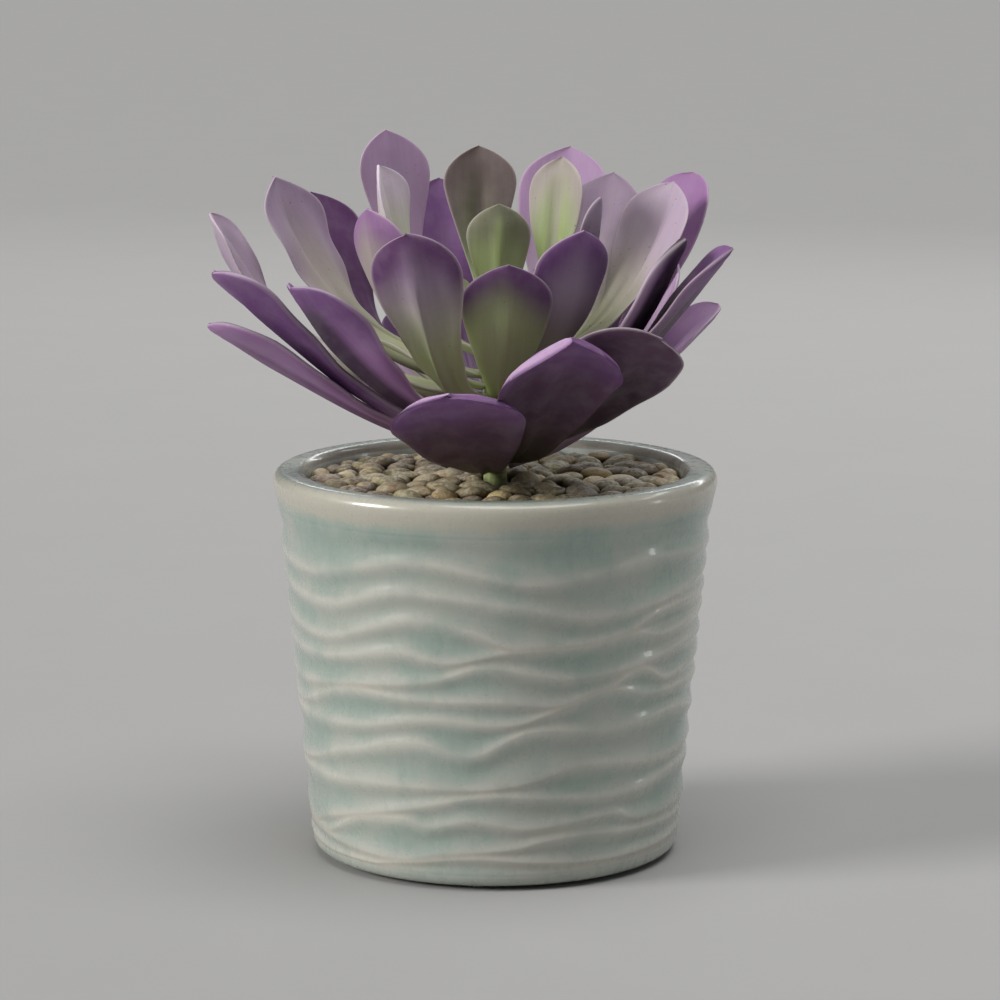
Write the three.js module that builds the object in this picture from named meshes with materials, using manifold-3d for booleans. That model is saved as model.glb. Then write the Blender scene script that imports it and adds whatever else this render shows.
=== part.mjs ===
// A potted aeonium: a ridged glazed pot of soil under a layer of pebbles, with one short stem
// that carries a rosette of spoon-shaped leaves. Millimetres, +Z up. The pot's axis is Z, the
// pads under the pot stand on z = 0, and the front of the plant faces -Y.
import * as THREE from 'three';
import { mergeVertices } from 'three/addons/utils/BufferGeometryUtils.js';
import Module from 'manifold-3d';

const wasm = await Module();
wasm.setup();

// ---- driving dimensions -------------------------------------------------------------------
const CLEARANCE = 0.3;          // gap between pieces that touch on the real plant
const WALL_GAP = 0.4;           // and between the filling and the pot's faceted inner wall
const BED_SEGMENTS = 48;

const PAD_HEIGHT = 0.9;         // clear pads stuck under the pot
const PAD_RADIUS = 3;
const PAD_DRAFT = 0.4;          // a pad is this much narrower on the table
const PAD_SIDES = 16;
const PAD_CIRCLE = 43;          // radius of the circle the pads lie on
const PAD_AZIMUTHS = [-96, -6, 84, 174];

const POT_HEIGHT = 105.2;       // from the table to the top of the rim
const POT_SEGMENTS = 54;
const BASE_RECESS_RADIUS = 37;
const BASE_RECESS_DEPTH = 0.3;
const BASE_FILLET = 3.5;
const WALL_FOOT = PAD_HEIGHT + BASE_FILLET;
const WALL_FOOT_RADIUS = 49.9;
const WALL_FLARE = 0.094;       // growth of the wall's radius per millimetre of height
const NECK_HEIGHT = 96;         // where the ridged wall meets the lip
const LIP_RADIUS = 60;
const LIP_ROUNDING = 2.9;
const LIP_RISE = 1.6;           // the lip swells out of the neck over this height
const LIP_STEP = 0.5;           // and is this much short of its full radius there
const MOUTH_RADIUS = 51.3;
const MOUTH_BEVEL = 1.3;        // rounding at the inner edge of the rim
const INNER_TOP = { radius: 51, height: 96 };
const INNER_FOOT = { radius: 45, height: 12 };
const FLOOR_HEIGHT = 8;
const FLOOR_RADIUS = 40;

const CREST_RISE = 0.3;         // a ridge stands this far outside the mean wall
const SCOOP_DEPTH = 0.85;       // deepest hollow between two ridges
const SCOOP_PER_GAP = 0.11;     // hollow depth per millimetre between the ridges
const CREST_GAP = 0.7;          // closest that two ridges run

const STEM_RADIUS = 3.3;
const STEM_FOOT = 62;
const STEM_NECK = { radius: 3.1, height: 144 };
const STEM_TOP = 148.5;
const STEM_TAPER = 0.6;         // width half way from the neck to the top
const STEM_SIDES = 16;

const SOIL_TOP = 90.5;
const BED_TOP = 98;             // floor of the pebble layer, between the pebbles
const PEBBLE_COUNT = 112;
const PEBBLE_SPREAD = 47.5;     // radius of the disc that the pebble centres fill
const PEBBLE_SEED = 7;
const PEBBLE = {                // least and greatest of what is drawn for each pebble
  halfLength: [3.8, 4.7],
  widthShare: [0.78, 0.92],     // of the half length
  halfHeight: [2.3, 3],
  tilt: [-0.15, 0.15],
  lift: [1.2, 2.1],             // of the pebble's middle above the floor of the layer
};
const GOLDEN_TURN = 137.508;    // degrees from one pebble of the spiral to the next
const TURN_PLAY = 6;            // and up to this many more

const LEAF_THICKNESS = 2.3;     // of the blade
const STALK_THICKNESS = 3;      // of the stalk, clear of its thinner root
const LEAF_EDGE = 1.2;          // thickness of the blade's margin
const LEAF_POINT = 1.3;         // length of the small point at the tip
const POINT_SHARE = 0.06;       // and its most, as a share of the blade
const BLADE_PER_WIDTH = 2.05;   // blade length as a multiple of its width
const ROUND_END = 0.27;         // share of the blade taken by its round end
const STALK_SHARE = 0.2;        // width of the leaf stalk against the blade
const ROOT_SHARE = 0.75;        // width of the stalk's root against the stalk
const ROOT_LENGTH = 10;         // the stalk widens and thickens over this length
const BEND_SHARE = 0.42;        // how far the rises at both ends of a leaf carry into its bend
const CHANNEL = 0.2;            // the margins stand this share of the half width above the middle
const HOLLOW = 0.3;             // upper face at the middle, as a share of the thickness
const KEEL = 0.62;              // lower face at the middle, as a share of the thickness
const FLANK = { out: 0.55, down: 0.5 };  // lower face between keel and margin

// Ridge crests of the pot wall, lowest first: [azimuth in degrees, height in mm], closed round.
const CRESTS = [
  [[-136, 4.6], [-119, 6.6], [-97, 9], [-80, 8], [-63, 7], [-41, 7], [0, 8], [60, 6], [130, 9], [180, 7]],
  [[-149, 9], [-119, 7.5], [-105, 10], [-83, 12], [-76, 13.5], [-63, 14.5], [-42, 13.2], [-10, 13],
    [50, 15], [110, 13], [165, 14]],
  [[-158, 9.5], [-134, 17], [-118, 18.5], [-110, 17], [-97, 19.4], [-81, 17.3], [-54, 19.2], [-42, 16.5],
    [-10, 17], [40, 21], [95, 18], [140, 22]],
  [[-166, 11.5], [-152, 14.5], [-118, 21.4], [-93, 26], [-73, 25.2], [-49, 24.2], [-21, 27.5], [30, 26],
    [80, 24], [130, 27], [170, 20]],
  [[-155, 26], [-122, 27.8], [-95, 28.2], [-83, 29.6], [-64, 33.7], [-33, 31.5], [5, 33.5], [60, 30],
    [105, 34], [150, 29]],
  [[-169, 28.5], [-138, 35], [-113, 39.8], [-97, 37], [-80, 43.6], [-56, 42.5], [-28, 44], [20, 39],
    [70, 43], [120, 38], [160, 33]],
  [[-162, 42], [-133, 42.8], [-108, 46.5], [-85, 45.8], [-69, 50.4], [-56, 53.4], [-43, 50.5], [-11, 50.5],
    [40, 48], [90, 51], [140, 46]],
  [[-164, 45], [-135, 52.2], [-116, 51.6], [-89, 52], [-75, 50.6], [-63, 51.5], [-46, 57.7], [-34, 53.6],
    [-14, 55.8], [30, 58], [75, 54], [125, 57], [165, 50]],
  [[-164, 51.6], [-130, 54.4], [-107, 57.2], [-93, 61.1], [-70, 57.7], [-52, 58.6], [-17, 62.4], [35, 60],
    [85, 64], [135, 60]],
  [[-147, 60], [-117, 64.2], [-103, 62.4], [-85, 65.6], [-66, 66], [-49, 67.8], [-36, 66], [-10, 69],
    [45, 66], [95, 70], [150, 64]],
  [[-146, 65.5], [-112, 73.2], [-96, 70.6], [-85, 66.5], [-58, 66.8], [-38, 72.8], [0, 74], [50, 77],
    [100, 73], [150, 74]],
  [[-141, 74.8], [-116, 80.2], [-85, 77.4], [-66, 73.8], [-38, 75.5], [-15, 79], [35, 83], [85, 79],
    [140, 82], [180, 78]],
  [[-149, 82.8], [-110, 88.6], [-80, 83.4], [-47, 87.2], [-10, 86], [45, 89], [100, 85], [150, 88]],
];

// Leaves from the lowest upward. Azimuth, reach from the axis, height of the tip, height of the
// seat on the stem, width, rise of the stalk, rise of the blade at its tip, and roll. mm and degrees.
// A last value, where there is one, is the leaf's own channel.
const LEAVES = [
  // the spreading leaves at the foot of the rosette
  [-101.7, 58.5, 133.5, 106.4, 35, 3.5, 29, 7, -0.1],
  [-47, 63.2, 145.9, 111.4, 31, -2, 19, -30, 0],
  [-167, 78, 146, 109, 28, 18, 30, 10],
  [148, 50, 131, 104.5, 24, 14, 36, 0],
  [17, 64, 147, 105.5, 26, 18, 40, 0],
  [88, 60, 150, 107, 24, 16, 50, 0],
  [58, 60, 149.5, 111.5, 26, 14, 50, 0],
  [117, 56, 143, 110, 23, 12, 44, 0],
  [-72, 63.7, 148, 109, 33.4, 3.4, 16, 3, -0.42],
  [-161, 78, 161, 112, 26, 18, 40, 8],
  [22, 54, 158, 108.5, 25, 20, 60, 0],
  // the middle leaves
  [-19, 66, 167, 114.5, 28, 18, 46, 12],
  [-146, 64, 158, 115, 29, 20, 50, 0],
  [105, 62, 178, 115.5, 26, 12, 65, 0],
  [166, 80, 172, 124.5, 18, 4, 65, 0],
  [70, 62, 187, 118.5, 27, 10, 70, 0],
  [-19, 53, 169, 119, 29, 16, 62, 8],
  [38, 70, 181, 115, 26, 8, 70, 0],
  [126, 52, 193, 121.5, 23, 12, 78, 0],
  [152, 69, 181, 130, 29, 4, 72, 0],
  [53, 55, 181, 124, 28, 8, 72, 6],
  [136, 72, 175, 118.5, 25, 10, 66, 0],
  [-118, 49, 173, 123, 24, 4, 67, 18],
  // the upright leaves round the heart
  [29, 56, 180, 130, 26, 8, 70, 12],
  [-84, 34, 164, 126, 24, 10, 78, 0],
  [97, 38, 189, 133, 20, 14, 82, 0],
  [-47, 34, 172, 130, 26, 14, 80, -2],
  [-152, 38, 177, 127.5, 21, 14, 78, 15],
  [163, 33, 186, 136, 18, 16, 80, -6],
  [52, 30, 187, 136, 19, 20, 82, 0],
  [-16, 29, 179, 135, 18, 20, 80, 0],
  [-86, 15, 178, 139, 17, 35, 88, 0],
  // the heart
  [150, 12, 156, 141, 9, 40, 84, 0],
  [30, 10, 153, 143, 8, 45, 84, 0],
];

// ---- small helpers ------------------------------------------------------------------------
const radians = THREE.MathUtils.degToRad;
const lerp = THREE.MathUtils.lerp;
const smoothstep = THREE.MathUtils.smoothstep;

/** Repeatable draws in 0..1 from a seed. */
function seededDraws(seed) {
  let state = seed;
  return () => {
    state = (state * 16807) % 2147483647;
    return state / 2147483647;
  };
}

/** A closed body from rings of equal length: each row joins the next, and both ends are closed. */
function loftGeometry(rings, firstPoint, lastPoint) {
  const sides = rings[0].length;
  const points = [...rings.flat(), firstPoint, lastPoint];
  const first = rings.length * sides;
  const last = first + 1;
  const faces = [];
  for (let side = 0; side < sides; side += 1) {
    const next = (side + 1) % sides;
    faces.push(first, next, side);
    for (let ring = 0; ring + 1 < rings.length; ring += 1) {
      const below = ring * sides;
      const above = below + sides;
      faces.push(below + side, below + next, above + next);
      faces.push(below + side, above + next, above + side);
    }
    const top = (rings.length - 1) * sides;
    faces.push(top + side, top + next, last);
  }
  const geometry = new THREE.BufferGeometry().setFromPoints(points);
  geometry.setIndex(faces);
  geometry.computeVertexNormals();
  return geometry;
}

/** A body of revolution about Z from [radius, height] points that start and end on the axis. */
function turnedGeometry(profile, segments) {
  const points = profile.map(([radius, height]) => new THREE.Vector2(radius, height));
  return new THREE.LatheGeometry(points, segments).rotateX(Math.PI / 2);
}

/** A closed geometry as a solid that can be joined or cut. */
function solidOf(geometry) {
  const bare = geometry.clone();
  bare.deleteAttribute('normal');
  bare.deleteAttribute('uv');
  const merged = mergeVertices(bare, 1e-4);
  return new wasm.Manifold(new wasm.Mesh({
    numProp: 3,
    vertProperties: new Float32Array(merged.attributes.position.array),
    triVerts: new Uint32Array(merged.index.array),
  }));
}

/** A solid back as a geometry. */
function geometryOf(solid) {
  const mesh = solid.getMesh();
  const geometry = new THREE.BufferGeometry();
  geometry.setAttribute('position', new THREE.BufferAttribute(mesh.vertProperties, 3));
  geometry.setIndex(new THREE.BufferAttribute(mesh.triVerts, 1));
  geometry.computeVertexNormals();
  return geometry;
}

/** The point at a radius, azimuth in degrees and height. */
function polar(radius, azimuth, height) {
  const angle = radians(azimuth);
  return new THREE.Vector3(radius * Math.cos(angle), radius * Math.sin(angle), height);
}

const plant = new THREE.Group();

/** Adds one named piece to the plant. */
function addPiece(name, geometry, material) {
  const mesh = new THREE.Mesh(geometry, material);
  mesh.name = name;
  plant.add(mesh);
}

// ---- the pot ------------------------------------------------------------------------------
/** Height of a crest at an azimuth: its anchors joined by smooth cubic stretches, closed round. */
function crestHeight(anchors, azimuth) {
  const count = anchors.length;
  const at = (index) => {
    const turn = Math.floor(index / count);
    const [angle, height] = anchors[index - turn * count];
    return [angle + 360 * turn, height];
  };
  let left = 0;
  const target = azimuth < anchors[0][0] ? azimuth + 360 : azimuth;
  while (at(left + 1)[0] <= target) left += 1;
  const [a0, h0] = at(left);
  const [a1, h1] = at(left + 1);
  const slopeAt = (index) => {
    const [beforeAngle, beforeHeight] = at(index - 1);
    const [afterAngle, afterHeight] = at(index + 1);
    return (afterHeight - beforeHeight) / (afterAngle - beforeAngle);
  };
  const span = a1 - a0;
  const t = (target - a0) / span;
  const rise = h1 - h0;
  const startSlope = slopeAt(left) * span;
  const endSlope = slopeAt(left + 1) * span;
  return h0 + startSlope * t + (3 * rise - 2 * startSlope - endSlope) * t * t
    + (startSlope + endSlope - 2 * rise) * t * t * t;
}

/** Heights of all crests at an azimuth, lowest first and never crossing. */
function crestHeights(azimuth) {
  const heights = CRESTS.map((anchors) => crestHeight(anchors, azimuth));
  heights[0] = Math.max(heights[0], WALL_FOOT + CREST_GAP);
  for (let index = 1; index < heights.length; index += 1) {
    heights[index] = Math.max(heights[index], heights[index - 1] + CREST_GAP);
  }
  return heights;
}

/** Mean radius of the outer wall at a height. */
function wallRadius(height) {
  return WALL_FOOT_RADIUS + WALL_FLARE * (height - WALL_FOOT);
}

/** One upright line of the ridged outer wall: crests with a scooped hollow below each. */
function ridgedWallLine(azimuth) {
  const line = [];
  let below = WALL_FOOT;
  for (const height of [...crestHeights(azimuth), NECK_HEIGHT]) {
    const middle = (below + height) / 2;
    const scoop = Math.min(SCOOP_DEPTH, SCOOP_PER_GAP * (height - below));
    const crestRadius = wallRadius(height) + CREST_RISE;
    line.push(polar(wallRadius(middle) + CREST_RISE - scoop, azimuth, middle));
    line.push(polar(crestRadius, azimuth, height));
    below = height;
  }
  return line;
}

/** Points of the rounding at the pot's foot, from the flat ring under it up to the wall. */
function footLine() {
  const steps = 2;
  const line = [];
  for (let step = 0; step <= steps; step += 1) {
    const turn = (step / steps) * Math.PI / 2;
    const radius = WALL_FOOT_RADIUS - BASE_FILLET + BASE_FILLET * Math.sin(turn);
    line.push([radius, WALL_FOOT - BASE_FILLET * Math.cos(turn)]);
  }
  return line;
}

/** Points over the lip, from the neck outside to the floor inside. */
function lipAndInsideLine() {
  const steps = 3;
  const crown = POT_HEIGHT - LIP_ROUNDING;
  const line = [[LIP_RADIUS - LIP_STEP, NECK_HEIGHT + LIP_RISE], [LIP_RADIUS, crown - 1]];
  for (let step = 1; step <= steps; step += 1) {
    const turn = (step / steps) * Math.PI / 2;
    const radius = LIP_RADIUS - LIP_ROUNDING + LIP_ROUNDING * Math.cos(turn);
    line.push([radius, crown + LIP_ROUNDING * Math.sin(turn)]);
  }
  line.push([MOUTH_RADIUS + MOUTH_BEVEL, POT_HEIGHT - 0.4 * MOUTH_BEVEL]);
  line.push([MOUTH_RADIUS + 0.2 * MOUTH_BEVEL, POT_HEIGHT - 1.25 * MOUTH_BEVEL]);
  line.push([INNER_TOP.radius, INNER_TOP.height]);
  line.push([INNER_FOOT.radius, INNER_FOOT.height]);
  line.push([FLOOR_RADIUS, FLOOR_HEIGHT]);
  return line;
}

function potGeometry() {
  const lines = [];
  for (let segment = 0; segment < POT_SEGMENTS; segment += 1) {
    const azimuth = -180 + 360 * segment / POT_SEGMENTS;
    const turned = ([radius, height]) => polar(radius, azimuth, height);
    lines.push([
      polar(BASE_RECESS_RADIUS, azimuth, PAD_HEIGHT + BASE_RECESS_DEPTH),
      polar(BASE_RECESS_RADIUS + BASE_RECESS_DEPTH, azimuth, PAD_HEIGHT),
      ...footLine().map(turned),
      ...ridgedWallLine(azimuth),
      ...lipAndInsideLine().map(turned),
    ]);
  }
  const rings = lines[0].map((_, row) => lines.map((line) => line[row]));
  const underside = new THREE.Vector3(0, 0, PAD_HEIGHT + BASE_RECESS_DEPTH);
  return loftGeometry(rings, underside, new THREE.Vector3(0, 0, FLOOR_HEIGHT));
}

function padGeometry(azimuth) {
  const place = polar(PAD_CIRCLE, azimuth, PAD_HEIGHT / 2);
  return new THREE.CylinderGeometry(PAD_RADIUS - PAD_DRAFT, PAD_RADIUS, PAD_HEIGHT, PAD_SIDES)
    .rotateX(-Math.PI / 2)
    .translate(place.x, place.y, place.z);
}

// ---- soil, pebbles and stem ---------------------------------------------------------------
/** Inner radius of the pot's straight inner wall at a height. */
function innerRadius(height) {
  const share = (height - INNER_FOOT.height) / (INNER_TOP.height - INNER_FOOT.height);
  return lerp(INNER_FOOT.radius, INNER_TOP.radius, share);
}

function soilGeometry() {
  const gap = WALL_GAP;
  const hole = STEM_RADIUS + CLEARANCE;
  return turnedGeometry([
    [0, FLOOR_HEIGHT + CLEARANCE],
    [FLOOR_RADIUS - gap, FLOOR_HEIGHT + CLEARANCE],
    [INNER_FOOT.radius - gap, INNER_FOOT.height + gap / 2],
    [innerRadius(SOIL_TOP) - gap, SOIL_TOP],
    [hole, SOIL_TOP],
    [hole, STEM_FOOT - CLEARANCE],
    [0, STEM_FOOT - CLEARANCE],
  ], BED_SEGMENTS);
}

/** The layer that the pebbles are bedded in, with a plain hole for the stem. */
function pebbleBed() {
  const gap = WALL_GAP;
  const hole = STEM_RADIUS + CLEARANCE;
  const foot = SOIL_TOP + CLEARANCE;
  return turnedGeometry([
    [hole, foot],
    [innerRadius(foot) - gap, foot],
    [innerRadius(BED_TOP) - gap, BED_TOP],
    [hole, BED_TOP],
    [hole, foot],
  ], BED_SEGMENTS);
}

/** Flattened pebbles bedded side by side in a sunflower spiral out to the pot's wall. */
function pebblesGeometry() {
  const draw = seededDraws(PEBBLE_SEED);
  const drawFrom = ([least, greatest]) => lerp(least, greatest, draw());
  let layer = solidOf(pebbleBed());
  for (let index = 0; index < PEBBLE_COUNT; index += 1) {
    const radius = PEBBLE_SPREAD * Math.sqrt((index + 0.5) / PEBBLE_COUNT);
    const azimuth = index * GOLDEN_TURN + TURN_PLAY * draw();
    const halfLength = drawFrom(PEBBLE.halfLength);
    const halfWidth = halfLength * drawFrom(PEBBLE.widthShare);
    const halfHeight = drawFrom(PEBBLE.halfHeight);
    const heading = Math.PI * draw();
    const tilt = drawFrom(PEBBLE.tilt);
    const lift = drawFrom(PEBBLE.lift);
    if (radius < STEM_RADIUS + halfLength + WALL_GAP) continue;
    const reach = Math.min(radius, innerRadius(BED_TOP) - halfLength - 2 * CLEARANCE);
    const place = polar(reach, azimuth, BED_TOP + lift);
    const pebble = new THREE.IcosahedronGeometry(1, 0)
      .scale(halfLength, halfWidth, halfHeight)
      .rotateX(tilt)
      .rotateZ(heading)
      .translate(place.x, place.y, place.z);
    layer = layer.add(solidOf(pebble));
  }
  return geometryOf(layer);
}

function stemGeometry() {
  return turnedGeometry([
    [0, STEM_FOOT],
    [STEM_RADIUS, STEM_FOOT],
    [STEM_RADIUS, SOIL_TOP],
    [STEM_NECK.radius, STEM_NECK.height],
    [STEM_NECK.radius * STEM_TAPER, (STEM_NECK.height + STEM_TOP) / 2],
    [0, STEM_TOP],
  ], STEM_SIDES);
}

// ---- leaves -------------------------------------------------------------------------------
/** Length of the small point at the tip of a blade. */
function pointLength(blade) {
  return Math.min(LEAF_POINT, POINT_SHARE * blade);
}

/** Half the leaf's width at a distance from its tip, for a leaf of a given length and blade. */
function leafHalfWidth(distance, width, blade, length) {
  const fromRoot = smoothstep(length - distance, 0, ROOT_LENGTH);
  const stalk = STALK_SHARE * width / 2 * lerp(ROOT_SHARE, 1, fromRoot);
  const share = distance / blade;
  if (share >= 1) return stalk;
  if (share > ROUND_END) {
    const down = (share - ROUND_END) / (1 - ROUND_END);
    const eased = lerp(1 - down, (1 + Math.cos(Math.PI * down)) / 2, 0.5);
    return lerp(stalk, width / 2, eased);
  }
  const point = pointLength(blade);
  const roundShare = Math.max(0, (distance - point) / (ROUND_END * blade - point));
  const round = width / 2 * Math.sqrt(1 - (1 - roundShare) ** 2.2);
  return Math.max(0.45 * distance, round);
}

/** The leaf's thickness at its middle line: a stout stalk, an even blade and a thin tip. */
function leafThickness(distance, blade, length) {
  const fromRoot = smoothstep(length - distance, 0, ROOT_LENGTH);
  const stout = fromRoot * smoothstep(distance, 0.5 * blade, blade);
  const body = lerp(LEAF_THICKNESS, STALK_THICKNESS, stout);
  return body * Math.min(1, 0.3 + distance / 8);
}

/** The line that a leaf's middle follows, in the upright plane at its azimuth. */
function leafMidline([azimuth, reach, tipHeight, seat, , stalkRise, tipRise]) {
  const start = STEM_RADIUS + CLEARANCE + LEAF_THICKNESS / 2 * Math.sin(radians(stalkRise));
  const chord = Math.hypot(reach - start, tipHeight - seat);
  const along = (radius, height, rise, length) => polar(
    radius + length * Math.cos(radians(rise)), azimuth, height + length * Math.sin(radians(rise)));
  return new THREE.CubicBezierCurve3(
    polar(start, azimuth, seat),
    along(start, seat, stalkRise, BEND_SHARE * chord),
    along(reach, tipHeight, tipRise, -BEND_SHARE * chord),
    polar(reach, azimuth, tipHeight),
  );
}

/** One leaf: channelled above, keeled below, with a round end and a small point. */
function leafGeometry(leaf) {
  const [azimuth, , , , width, , , roll, channel = CHANNEL] = leaf;
  const midline = leafMidline(leaf);
  const length = midline.getLength();
  const blade = Math.min(BLADE_PER_WIDTH * width, length - 6);
  const across = polar(1, azimuth + 90, 0);
  const point = pointLength(blade);
  const distances = [
    length, (length + blade) / 2, blade, 0.78 * blade, 0.52 * blade,
    ROUND_END * blade, 0.13 * blade, point + 0.03 * blade, point,
  ];
  const rings = distances.map((distance) => {
    const share = 1 - distance / length;
    const centre = midline.getPointAt(share);
    const forward = midline.getTangentAt(share);
    const turn = radians(roll) * smoothstep(share, 0.1, 0.7);
    const side = across.clone().applyAxisAngle(forward, turn);
    const up = new THREE.Vector3().crossVectors(side, forward).negate();
    const half = leafHalfWidth(distance, width, blade, length);
    const thick = leafThickness(distance, blade, length);
    const margin = channel * half;
    const edge = Math.min(LEAF_EDGE, thick) / 2;
    const flank = FLANK.out * half;
    const flankHeight = FLANK.out ** 2 * margin - FLANK.down * thick;
    const section = [
      [half, margin + edge],
      [0, HOLLOW * thick],
      [-half, margin + edge],
      [-half, margin - edge],
      [-flank, flankHeight],
      [0, -KEEL * thick],
      [flank, flankHeight],
      [half, margin - edge],
    ];
    return section.map(([x, y]) => centre.clone().addScaledVector(side, x).addScaledVector(up, y));
  });
  return loftGeometry(rings, midline.getPointAt(0), midline.getPointAt(1));
}

// ---- materials ----------------------------------------------------------------------------
const glaze = new THREE.MeshStandardMaterial({ color: 0x9fb3a9, roughness: 0.22, metalness: 0 });
const silicone = new THREE.MeshStandardMaterial({ color: 0xc9cfcb, roughness: 0.3, metalness: 0 });
const soil = new THREE.MeshStandardMaterial({ color: 0x3a2a1e, roughness: 0.95, metalness: 0 });
const stone = new THREE.MeshStandardMaterial({ color: 0x8a7a62, roughness: 0.6, metalness: 0 });
const greenStem = new THREE.MeshStandardMaterial({ color: 0x7f9450, roughness: 0.6, metalness: 0 });

/** Leaves are green at the heart and turn purple in the outer ones. */
function leafMaterial(reach) {
  const outwards = smoothstep(reach, 20, 60);
  const color = new THREE.Color(0x8a9a63).lerp(new THREE.Color(0x75507d), outwards);
  return new THREE.MeshStandardMaterial({ color, roughness: 0.55, metalness: 0 });
}

// ---- the plant ----------------------------------------------------------------------------
addPiece('pot', potGeometry(), glaze);
PAD_AZIMUTHS.forEach((azimuth, index) => {
  addPiece(`foot_pad_${index + 1}`, padGeometry(azimuth), silicone);
});
addPiece('soil', soilGeometry(), soil);
addPiece('pebbles', pebblesGeometry(), stone);
addPiece('stem', stemGeometry(), greenStem);
LEAVES.forEach((leaf, index) => {
  const number = String(index + 1).padStart(2, '0');
  addPiece(`leaf_${number}`, leafGeometry(leaf), leafMaterial(leaf[1]));
});

export default plant;
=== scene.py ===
# Looks for the potted aeonium: fine leaves, stem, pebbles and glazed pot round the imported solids,
# a pale floor, soft studio light and the camera. Sizes in this file are millimetres until a mesh
# is made; then they are metres. Azimuths are in degrees from +X towards +Y, and the front is -Y.
import math

import bmesh
import bpy
import numpy as np
from mathutils import Matrix, Vector


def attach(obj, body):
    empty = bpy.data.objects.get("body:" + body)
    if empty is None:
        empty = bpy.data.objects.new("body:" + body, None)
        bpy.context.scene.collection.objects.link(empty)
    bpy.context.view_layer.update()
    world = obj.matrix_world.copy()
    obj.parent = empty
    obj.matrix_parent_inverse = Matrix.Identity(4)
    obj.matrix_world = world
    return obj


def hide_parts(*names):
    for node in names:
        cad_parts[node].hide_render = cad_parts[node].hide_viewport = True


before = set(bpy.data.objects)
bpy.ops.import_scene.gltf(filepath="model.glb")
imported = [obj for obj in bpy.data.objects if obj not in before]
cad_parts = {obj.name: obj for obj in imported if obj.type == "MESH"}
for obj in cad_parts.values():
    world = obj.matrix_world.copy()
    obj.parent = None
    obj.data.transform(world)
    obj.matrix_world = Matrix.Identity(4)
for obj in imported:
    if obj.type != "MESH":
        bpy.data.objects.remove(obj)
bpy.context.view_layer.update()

MM = 0.001

# ---- sizes shared with the solids ---------------------------------------------------------------
CLEARANCE = 0.3
WALL_GAP = 0.4

PAD_HEIGHT = 0.9
PAD_RADIUS = 3
PAD_CIRCLE = 43
PAD_AZIMUTHS = [-96, -6, 84, 174]

POT_HEIGHT = 105.2
BASE_RECESS_RADIUS = 37
BASE_RECESS_DEPTH = 0.3
BASE_FILLET = 3.5
WALL_FOOT = PAD_HEIGHT + BASE_FILLET
WALL_FOOT_RADIUS = 49.9
WALL_FLARE = 0.094
NECK_HEIGHT = 96
LIP_RADIUS = 60
LIP_ROUNDING = 2.9
MOUTH_RADIUS = 51.3
INNER_TOP = (51, 96)
INNER_FOOT = (45, 12)
FLOOR_HEIGHT = 8
FLOOR_RADIUS = 40
CREST_RISE = 0.3
SCOOP_DEPTH = 0.85
SCOOP_PER_GAP = 0.11
CREST_GAP = 0.7

STEM_RADIUS = 3.3
STEM_FOOT = 62
STEM_NECK = (3.1, 144)
STEM_TOP = 148.5

BED_TOP = 98
PEBBLE_COUNT = 112
PEBBLE_SPREAD = 47.5
PEBBLE_SEED = 7
PEBBLE_LONG = (3.8, 4.7)          # half lengths, least and greatest, and so on
PEBBLE_WIDE = (0.78, 0.92)        # half widths over half lengths
PEBBLE_HIGH = (2.3, 3)
PEBBLE_TILT = (-0.15, 0.15)
PEBBLE_LIFT = (1.2, 2.1)
GOLDEN_TURN = 137.508

LEAF_THICKNESS = 2.3
STALK_THICKNESS = 3
LEAF_EDGE = 1.2                   # thickness at the margin
BLADE_PER_WIDTH = 2.05
ROUND_END = 0.27
STALK_SHARE = 0.2
ROOT_SHARE = 0.75
ROOT_LENGTH = 10
BEND_SHARE = 0.42
CHANNEL = 0.2                     # rise of the margins over half the width
FOLD = 1.7                        # how the channel bends: 1 is a sharp fold
HOLLOW = 0.3

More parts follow.
